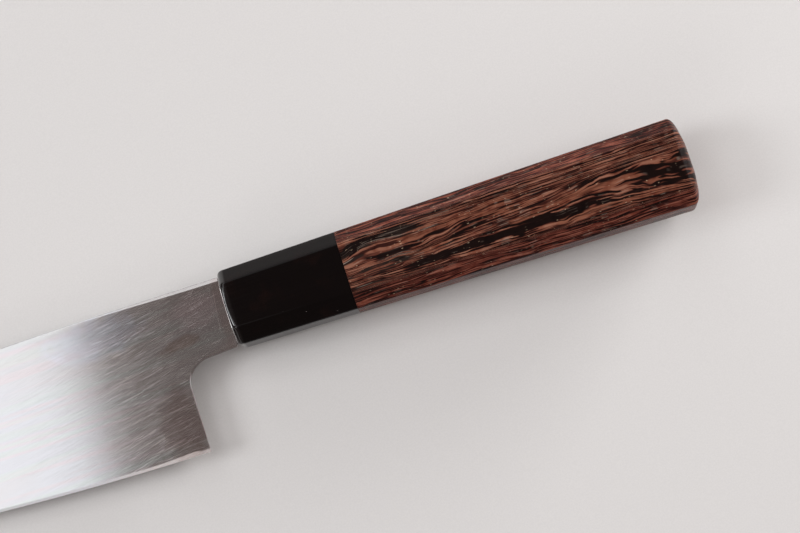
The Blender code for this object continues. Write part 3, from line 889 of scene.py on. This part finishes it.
def makeSteel():
    values = steelValues
    steel, tree, shader = newMaterial("satin steel")

    def lines(turn, along, across, seed):
        return streakNoise(tree, millimetres(tree, turn), along, across, detail=1.0, seed=seed)

    cloud = streakNoise(tree, millimetres(tree, values["cloudTurn"]), *values["clouds"])
    farX, nearX, faint = values["calmFrom"]
    along = split(tree, millimetres(tree))[0]
    near = rescale(tree, along, farX + knifePlace.x * 1000, nearX + knifePlace.x * 1000)
    warmth = calc(tree, "ADD", rescale(tree, cloud, *values["cloudRange"]),
                  timesPlus(tree, near, *values["nearWarmth"]))
    colour = blendColours(tree, warmth, values["cool"], values["warm"])
    colour = blendColours(tree, values["plainShare"], colour, values["colour"])
    # painted iridescent sheen: faint pink and green lines
    for tint, seed in (("pink", 71.0), ("green", 83.0)):
        share = rescale(tree, lines(*values["sheenLines"], seed), *values["sheenRange"])
        colour = blendColours(tree, share, colour, values[tint])
    # stains, and as the last patch a painted reflection
    for x, y, halfLength, halfWidth, turn, strength, tint in values["stainsAndReflection"]:
        share = times(tree, patchMask(tree, x, y, halfLength, halfWidth, turn), strength)
        colour = blendColours(tree, share, colour, tint)
    # painted shade on the walls of the heel, the notch and the neck
    colour = blendColours(tree, attributeValue(tree, "wallShade"), colour, values["wallShadeColour"])

    scratched, polish = None, None
    for number, (turn, along, across, limit, sign) in enumerate(values["scratches"]):
        drawn = lines(turn, along, across, seed=11.0 * number)
        mask = rescale(tree, drawn, limit, limit + values["scratchEdge"], 0.0, sign)
        scratched = mask if scratched is None else calc(tree, "ADD", scratched, mask)
    for number, (turn, along, across, weight) in enumerate(values["polish"]):
        drawn = lines(turn, along, across, seed=50 + 9.0 * number)
        entry = times(tree, centred(tree, drawn), weight)
        polish = entry if polish is None else calc(tree, "ADD", polish, entry)
    bundles = rescale(tree, lines(*values["bundles"]), *values["bundleRange"])
    mottle = noise(tree, millimetres(tree), *values["mottle"])
    shade = times(tree, times(tree, polish, values["lineShade"]), bundles)
    shade = timesPlus(tree, centred(tree, mottle), values["mottleShade"], shade)
    shade = timesPlus(tree, scratched, values["scratchShade"], shade)
    strength = mixed(tree, near, faint, 1.0)
    for x0, y0, x1, y1, amount in values["marks"]:
        shade = timesPlus(tree, singleMark(tree, x0, y0, x1, y1), amount, shade)
    shade = timesPlus(tree, shade, strength, 1.0)
    shaded = put(tree, "ShaderNodeVectorMath", {"operation": "SCALE"}, Scale=shade)
    plug(tree, shaded.inputs[0], colour)

    rough = rescale(tree, polish, *values["roughness"])
    rough = mixed(tree, scratched, rough, values["scratchRoughness"])
    fill(tree, shader, Base_Color=shaded.outputs[0], Metallic=1.0, Roughness=rough)
    relief(tree, shader, 1.0, values["lineDepth"], calc(tree, "SUBTRACT", polish, scratched))
    return steel


ferruleValues = {
    "colour": (0.0040, 0.0026, 0.0025), "brown": (0.0075, 0.0035, 0.003), "dustColour": rgb(150, 140, 138),
    "cloud": (0.12, 3.0, 0.55), "cloudRange": (0.5, 0.75),  # per mm, detail and grit
    "dust": {"Per_mm": 0.35, "Size": 0.06}, "lines": (0.05, 3.0, 3.0),  # per mm along, across, detail
    "roughness": (0.3, 0.7, 0.09, 0.17), "specular": 0.14,
    "grooves": (0.4, 0.000008),  # strength and depth in metres, as in the reliefs below
    "buffedTo": 2.2, "buffedFade": 0.4,  # the front edge is polished more, to this many mm from the front
    "coatRoughness": 0.1,
}


def makeHorn():
    values = ferruleValues
    horn, tree, shader = newMaterial("polished black horn")
    place = millimetres(tree)
    cloud = rescale(tree, noise(tree, place, *values["cloud"]), *values["cloudRange"])
    brown = blendColours(tree, cloud, values["colour"], values["brown"])
    specks = put(tree, "ShaderNodeGroup", {"node_tree": dustGroup}, Place=place, **values["dust"])
    colour = blendColours(tree, specks.outputs[0], brown, values["dustColour"])
    lines = streakNoise(tree, place, *values["lines"])
    edge, fade = values["buffedTo"] + knifePlace.x * 1000, values["buffedFade"]
    coat = rescale(tree, split(tree, place)[0], edge + fade, edge - fade)
    fill(tree, shader, Base_Color=colour, Roughness=rescale(tree, lines, *values["roughness"]),
         Coat_Weight=coat, Coat_Roughness=values["coatRoughness"], Specular_IOR_Level=values["specular"])
    relief(tree, shader, *values["grooves"], lines)
    return horn


wengeValues = {
    # colours of the grain from its darkest lines to its palest: (place on the scale, colour)
    "tones": ((0.0, rgb(20, 7, 5)), (0.22, rgb(38, 16, 12)), (0.48, rgb(84, 44, 35)),
              (0.74, rgb(120, 73, 57)), (1.0, rgb(150, 103, 84))),
    # painted light: a pink cast of bounce light on the facets off the main one
    "bevelBounceTint": (0.99, 0.78, 0.80),
    "orange": rgb(134, 82, 62), "glint": rgb(176, 156, 142),
    "pore": rgb(214, 186, 156), "red": rgb(92, 36, 32),
    "roughness": (0.38, 0.26), "specular": 0.1, "relief": (0.6, 0.00003), "strandRelief": 0.6,
    "ripple": 0.12,  # per mm, it keeps the fibres from running straight
    # layers of the grain: (per mm along, per level across, detail, grit, seed)
    "layers": (0.03, 0.5, 2.0, 0.6, 0.0), "bands": (0.03, 1.25, 1.0, 0.5, 9.0),
    "strands": (0.09, 2.6, 1.0, 0.6, 4.0), "darkLines": (0.03, 0.7, 1.0, 0.5, 21.0),
    "glints": (0.05, 3.2, 1.0, 0.5, 33.0),
    # what they add to the tone
    "layerTone": (0.38, 0.62, 0.0, 0.12), "bandTone": (0.45, 0.55, -0.04, 0.32),
    "strandTone": (0.45, 0.55, -0.04, 0.58),
    # the drawn bands: how ragged, and half the mm in which they fade in
    "raggedness": 1.6, "bandEdges": {"darkBand": 0.3, "paleBand": 0.2, "orangeBand": 0.4},
    "calmTone": (0.04, 0.96),  # the least and the most tone off the main facet
    "orangeTone": (0.62, 0.28), "orangeShare": 0.5,
    "darkBandTone": -0.75, "darkLineTone": -0.45, "darkLineWidth": (0.022, 0.0055),
    "redNoise": 0.35, "redRange": (0.45, 0.75, 0.0, 0.6),  # per mm, and its range
    # where glints and pores come: per mm along or per level, and detail
    "places": (0.3, 1.0), "glintPlaces": (0.5, 0.62, 0.0, 0.4), "porePlaces": (0.38, 0.6, 0.25, 1.0),
    "glintRange": (0.57, 0.63), "glintOnDark": 0.5,
    "glintShare": 0.6, "glintZoneShare": 0.03, "poreShare": 0.75,
    "poresPerMm": 0.65, "poresPerLevel": 4.4, "poreReach": (0.68, 1.0, 0.0, 0.29), "poreEdge": 0.5,
}


def makeWenge():
    values = wengeValues
    wenge, tree, shader = newMaterial("oiled wenge")
    place = millimetres(tree)
    parts = split(tree, place)
    level = calc(tree, "ADD", noise(tree, place, values["ripple"]), attributeValue(tree, "grainLevel"))
    fibre = put(tree, "ShaderNodeCombineXYZ", X=parts[0], Y=level, Z=0.0).outputs[0]
    figured = attributeValue(tree, "figured")

    names = ("layers", "bands", "strands", "darkLines", "glints")
    layers, bands, strands, lines, glints = [streakNoise(tree, fibre, *values[name]) for name in names]

    def ranged(value, name):
        return rescale(tree, value, *values[name])

    tone = calc(tree, "ADD", ranged(bands, "bandTone"), ranged(strands, "strandTone"))
    tone = calc(tree, "ADD", tone, ranged(layers, "layerTone"))
    edgeNoise = times(tree, centred(tree, tone), values["raggedness"])

    def bandMask(name, operation="SUBTRACT"):
        depth = calc(tree, operation, attributeValue(tree, name), edgeNoise)
        soft = values["bandEdges"][name]
        return rescale(tree, depth, -soft, soft)

    dark, glintZone, orange = bandMask("darkBand"), bandMask("paleBand"), bandMask("orangeBand", "ADD")
    tone = mixed(tree, orange, tone, timesPlus(tree, tone, *values["orangeTone"]))
    tone = timesPlus(tree, dark, values["darkBandTone"], tone)
    away = calc(tree, "ABSOLUTE", centred(tree, lines))
    darkLines = ranged(away, "darkLineWidth")
    tone = timesPlus(tree, darkLines, values["darkLineTone"], tone)
    tone = mixed(tree, figured, mixed(tree, tone, *values["calmTone"]), tone)
    ramp = put(tree, "ShaderNodeValToRGB", Fac=tone)
    stops = ramp.color_ramp.elements
    stops[1].position = 1.0
    for position, _ in values["tones"][1:-1]:
        stops.new(position)
    for stop, (position, colour) in zip(stops, values["tones"]):
        stop.position, stop.color = position, (*colour, 1.0)
    share = times(tree, orange, values["orangeShare"])
    colour = blendColours(tree, share, ramp.outputs[0], values["orange"])
    reddish = ranged(noise(tree, place, values["redNoise"]), "redRange")
    colour = blendColours(tree, reddish, colour, values["red"], "SOFT_LIGHT")
    # painted pink bounce light on the facets off the main one
    plain = calc(tree, "SUBTRACT", 1.0, figured)
    colour = blendColours(tree, plain, colour, values["bevelBounceTint"], "MULTIPLY")

    # painted glints along the grain, most of them in the glint zones
    places = noise(tree, fibre, *values["places"])
    where = calc(tree, "MAXIMUM", glintZone, ranged(places, "glintPlaces"))
    glints = times(tree, ranged(glints, "glintRange"), where)
    glints = times(tree, glints, rescale(tree, dark, 0.0, 1.0, 1.0, values["glintOnDark"]))
    for mask, name in ((glints, "glintShare"), (glintZone, "glintZoneShare")):
        colour = blendColours(tree, times(tree, mask, values[name]), colour, values["glint"])

    dash = put(tree, "ShaderNodeCombineXYZ", X=times(tree, parts[0], values["poresPerMm"]),
               Y=times(tree, level, values["poresPerLevel"]), Z=0.0).outputs[0]
    cells = put(tree, "ShaderNodeTexVoronoi", {"feature": "F1"}, Vector=dash, Scale=1.0, Randomness=1.0)
    chance = put(tree, "ShaderNodeSeparateColor", Color=cells.outputs["Color"]).outputs[0]
    reach = ranged(chance, "poreReach")
    pores = rescale(tree, cells.outputs["Distance"], reach, times(tree, reach, values["poreEdge"]))
    pores = times(tree, pores, ranged(places, "porePlaces"))
    share = times(tree, pores, values["poreShare"])
    colour = blendColours(tree, share, colour, values["pore"])

    fill(tree, shader, Base_Color=colour, Specular_IOR_Level=values["specular"],
         Roughness=rescale(tree, tone, 0.0, 1.0, *values["roughness"]))
    sunk = calc(tree, "ADD", pores, darkLines)
    height = calc(tree, "SUBTRACT", times(tree, strands, values["strandRelief"]), sunk)
    relief(tree, shader, *values["relief"], height)
    return wenge


innerLines = {
    "detail": 3.0, "blend": (0.35, 0.65), "relief": (0.4, 0.00004),
    "rough": (0.3, 0.7), "rise": 0.12,  # from and to in the noise, and how much rougher they make it
}
innerValues = {
    # CAD node: (material, both colours, per mm along, per mm across, roughness)
    "dowel": ("dowel hardwood", (rgb(190, 158, 116), rgb(158, 122, 82)), 0.04, 1.6, 0.55),
    "tang_epoxy": ("cured epoxy", (rgb(112, 84, 62), rgb(86, 62, 46)), 0.3, 0.4, 0.3),
    "mouth_seal": ("dark red resin", (rgb(92, 34, 30), rgb(58, 20, 18)), 0.8, 0.9, 0.28),
}


def makeInner(name, colours, along, across, roughness):
    made, tree, shader = newMaterial(name)
    values = innerLines
    lines = streakNoise(tree, millimetres(tree), along, across, values["detail"])
    fill(tree, shader, Base_Color=blendColours(tree, rescale(tree, lines, *values["blend"]), *colours),
         Roughness=rescale(tree, lines, *values["rough"], roughness, roughness + values["rise"]))
    relief(tree, shader, *values["relief"], lines)
    return made


storeWallShade(blade)
finishes = {blade: makeSteel(), ferrule: makeHorn(), handleBody: makeWenge()}
for node, entry in innerValues.items():
    finishes[frame["nodes"][node]] = makeInner(*entry)
for piece, finish in finishes.items():
    if not piece.data.materials:
        piece.data.materials.append(finish)
    for index in range(len(piece.data.materials)):
        piece.data.materials[index] = finish
print("materials made")


# lay the pieces where the CAD knife lies

for piece, node, slot in ((blade, "blade", "blade_steel"), (ferrule, "ferrule", "ferrule_horn"),
                          (handleBody, "handle_body", "handle_wenge")):
    layDown(piece, lying)
    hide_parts(node)
    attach(piece, "root")
print("knife laid down")


# floor, light and camera

stageValues = {
    "floorSize": 8.0, "floorColour": rgb(226, 224, 223), "floorMottle": 0.965,
    "floorNoise": (2.2, 3.0), "floorRange": (0.3, 0.7),  # per mm and detail, and from and to in the noise
    "floorRoughness": 0.9, "floorSpecular": 0.2,
    "surroundings": (0.150, 0.128, 0.122), "sideWall": (0.56, 0.54, 0.54), "sideWallFrom": (0.8, 0.95),
    "cameraPlace": (0.078, -0.09786, 0.64451), "cameraTurn": (9.566, 1.517, -17.556),
    "lens": 100.0, "sensor": 36.0, "nearest": 0.01,
}
lightValues = {
    # name: (place, what it faces, width, height, radiance, colour)
    "left softbox": ((-0.41, 0.35, 1.0), (-0.41, 0.35, 0.0), 0.40, 1.30, 1.25, (0.985, 0.99, 1.0)),
    "front softbox": ((-0.265, -0.475, 1.0), (-0.265, -0.475, 0.0), 0.37, 0.59, 0.7, (1.0, 0.98, 0.98)),
    "back softbox": ((-0.12, 1.71, 1.03), (0.0, 0.0, 0.0), 0.8, 2.1, 0.85, (0.93, 0.97, 1.0)),
    "right softbox": ((1.2, 0.2, 1.0), (1.2, 0.2, 0.0), 0.7, 1.2, 5.2, (1.0, 0.99, 0.98)),
    "left window": ((-1.138, 0.160, 0.964), (0.0, 0.0, 0.0), 0.55, 0.55, 8.5, (0.97, 0.985, 1.0)),
    "low window": ((1.198, 0.691, 0.219), (0.0, 0.0, 0.0), 0.6, 0.36, 20.0, (1.0, 0.99, 0.98)),
    "far fill": ((-0.912, -1.302, 0.845), (0.0, 0.0, 0.0), 1.0, 0.7, 1.9, (1.0, 0.98, 0.97)),
}


def makeFloor():
    startClean()
    bpy.ops.mesh.primitive_plane_add(size=stageValues["floorSize"])
    floor = bpy.context.object
    rename(floor, "pale_floor")
    paper, tree, shader = newMaterial("pale paper")
    tone = noise(tree, millimetres(tree), *stageValues["floorNoise"])
    tone = rescale(tree, tone, *stageValues["floorRange"])
    shade = tuple(part * stageValues["floorMottle"] for part in stageValues["floorColour"])
    fill(tree, shader, Base_Color=blendColours(tree, tone, shade, stageValues["floorColour"]),
         Roughness=stageValues["floorRoughness"], Specular_IOR_Level=stageValues["floorSpecular"])
    floor.data.materials.append(paper)


def makeLights():
    for name, (place, target, width, height, radiance, colour) in lightValues.items():
        facing = (Vector(target) - Vector(place)).to_track_quat("-Z", "Y").to_euler()
        bpy.ops.object.light_add(type="AREA", location=place, rotation=facing)
        lamp = bpy.context.object
        rename(lamp, name)
        lamp.data.shape = "RECTANGLE"
        lamp.data.size, lamp.data.size_y = width, height
        lamp.data.energy = radiance * math.pi * width * height
        lamp.data.color = colour
        lamp.visible_camera = False


def makeSurroundings():
    # a dim room with a paler wall past the handle
    world = bpy.data.worlds.new("studio")
    world.use_nodes = True
    bpy.context.scene.world = world
    tree = world.node_tree
    towards = put(tree, "ShaderNodeTexCoord").outputs["Generated"]
    share = rescale(tree, split(tree, towards)[0], *stageValues["sideWallFrom"])
    colour = blendColours(tree, share, stageValues["surroundings"], stageValues["sideWall"])
    plug(tree, tree.nodes["Background"].inputs["Color"], colour)


def makeCamera():
    turn = [math.radians(angle) for angle in stageValues["cameraTurn"]]
    bpy.ops.object.camera_add(location=stageValues["cameraPlace"], rotation=turn)
    camera = bpy.context.object
    rename(camera, "camera")
    camera.data.lens = stageValues["lens"]
    camera.data.sensor_width = stageValues["sensor"]
    camera.data.clip_start = stageValues["nearest"]
    bpy.context.scene.camera = camera


makeFloor()
makeLights()
makeSurroundings()
makeCamera()
bpy.context.scene.view_settings.view_transform = "Standard"
print("floor, light and camera ready")
